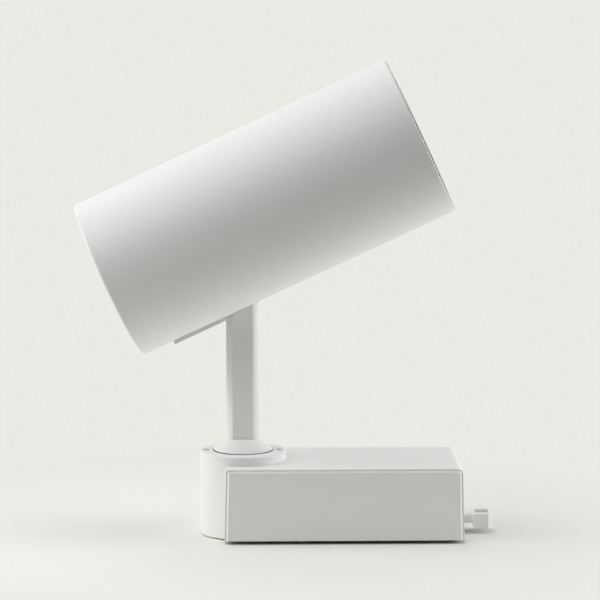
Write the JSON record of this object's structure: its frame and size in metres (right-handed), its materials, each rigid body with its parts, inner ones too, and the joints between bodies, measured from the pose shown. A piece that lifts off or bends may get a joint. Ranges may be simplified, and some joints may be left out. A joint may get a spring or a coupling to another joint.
{
  "type": "track light",
  "caption": "Cylindrical track spotlight on a flat arm that tilts and pans over a gear box with a track adapter and a finger-tab lock.",
  "frame": {"origin": "where the pan axis meets the track's face, on the underside of the adapter's flange", "axes": "+Z from the track to the head, +X along the gear box to the finger tab, front of the gear box at -Y"},
  "size_m": [0.2402, 0.0954, 0.288],
  "materials": {
    "white_coat": "white powder coat, fine matt texture",
    "white_plastic": "moulded white plastic",
    "bare_aluminium": "bare extruded aluminium",
    "reflector_aluminium": "faceted bright reflector",
    "plated_steel": "zinc-plated steel",
    "contact_copper": "copper alloy",
    "clear_glass": "clear polished glass",
    "grey_rubber": "silicone rubber",
    "led_phosphor": "phosphor gel",
    "green_board": "solder-masked board",
    "varnished_winding": "taped winding and coloured lead",
    "dark_plastic": "black plastic"
  },
  "bodies": {
    "head": {"head_shell": "white_coat", "front_ring": "white_coat", "glass_gasket": "grey_rubber", "front_glass": "clear_glass", "reflector": "reflector_aluminium", "led_chip": "led_phosphor", "thermal_pad": "grey_rubber", "led_holder": "white_plastic", "holder_screws": "plated_steel", "heat_sink": "bare_aluminium", "sink_screws": "plated_steel", "slot_liner": "white_plastic", "rear_cap": "white_coat", "rear_cap_screws": "plated_steel", "tilt_bracket": "plated_steel", "bracket_screws": "plated_steel", "tilt_pin": "plated_steel", "tilt_nut": "plated_steel", "head_lead": "white_plastic"},
    "arm": {"arm_bar": "white_coat", "arm_bush": "contact_copper", "friction_washers": "dark_plastic", "swivel_cap": "white_coat", "pan_spindle": "plated_steel", "arm_pins": "plated_steel", "stop_washer": "plated_steel", "spindle_nut": "plated_steel", "arm_lead": "white_plastic"},
    "gear_box": {"round_housing": "white_coat", "rim_screws": "plated_steel", "bearing_plate": "bare_aluminium", "pan_bush": "white_plastic", "stop_pin": "plated_steel", "housing_screws": "plated_steel", "gear_box_shell": "white_coat", "front_cover": "white_coat", "cover_clips": "plated_steel", "base_plate": "plated_steel", "base_screws": "plated_steel", "adapter_body": "white_plastic", "adapter_screws": "plated_steel", "keel_cap": "white_plastic", "keel_screws": "plated_steel", "contact_fingers": "contact_copper", "slide_cover": "plated_steel", "driver_case": "white_plastic", "driver_lid": "white_plastic", "driver_screws": "plated_steel", "driver_board": "green_board", "transformer": "varnished_winding", "capacitors": "dark_plastic", "choke": "contact_copper", "terminal_block": "white_plastic", "mains_leads": "varnished_winding", "output_lead": "white_plastic"},
    "lock_slide": {"lock_slide": "white_plastic"},
    "front_lug": {"front_lug": "plated_steel", "front_crank": "white_plastic"},
    "rear_lug": {"rear_lug": "plated_steel", "rear_crank": "white_plastic"}
  },
  "joints": [
    {"name": "pan", "type": "hinge", "parent": "gear_box", "child": "arm", "pos_m": [0, 0, 0.0488], "axis": [0, 0, 1], "range_deg": [-165, 165]},
    {"name": "tilt", "type": "hinge", "parent": "arm", "child": "head", "pos_m": [0, 0, 0.145], "axis": [0, -1, 0], "range_deg": [-25, 35]},
    {"name": "lock_slide", "type": "slide", "parent": "gear_box", "child": "lock_slide", "axis": [1, 0, 0], "range_m": [-0.005, 0]},
    {"name": "front_lug_turn", "type": "hinge", "parent": "gear_box", "child": "front_lug", "pos_m": [0.04, 0, 0], "axis": [0, 0, 1], "range_deg": [0, 90]},
    {"name": "rear_lug_turn", "type": "hinge", "parent": "gear_box", "child": "rear_lug", "pos_m": [0.1, 0, 0], "axis": [0, 0, 1], "range_deg": [0, 90]}
  ],
  "couplings": [
    {"joint": "front_lug_turn", "follows": "lock_slide", "rad_per_m": -314.16},
    {"joint": "rear_lug_turn", "follows": "lock_slide", "rad_per_m": -314.16}
  ]
}
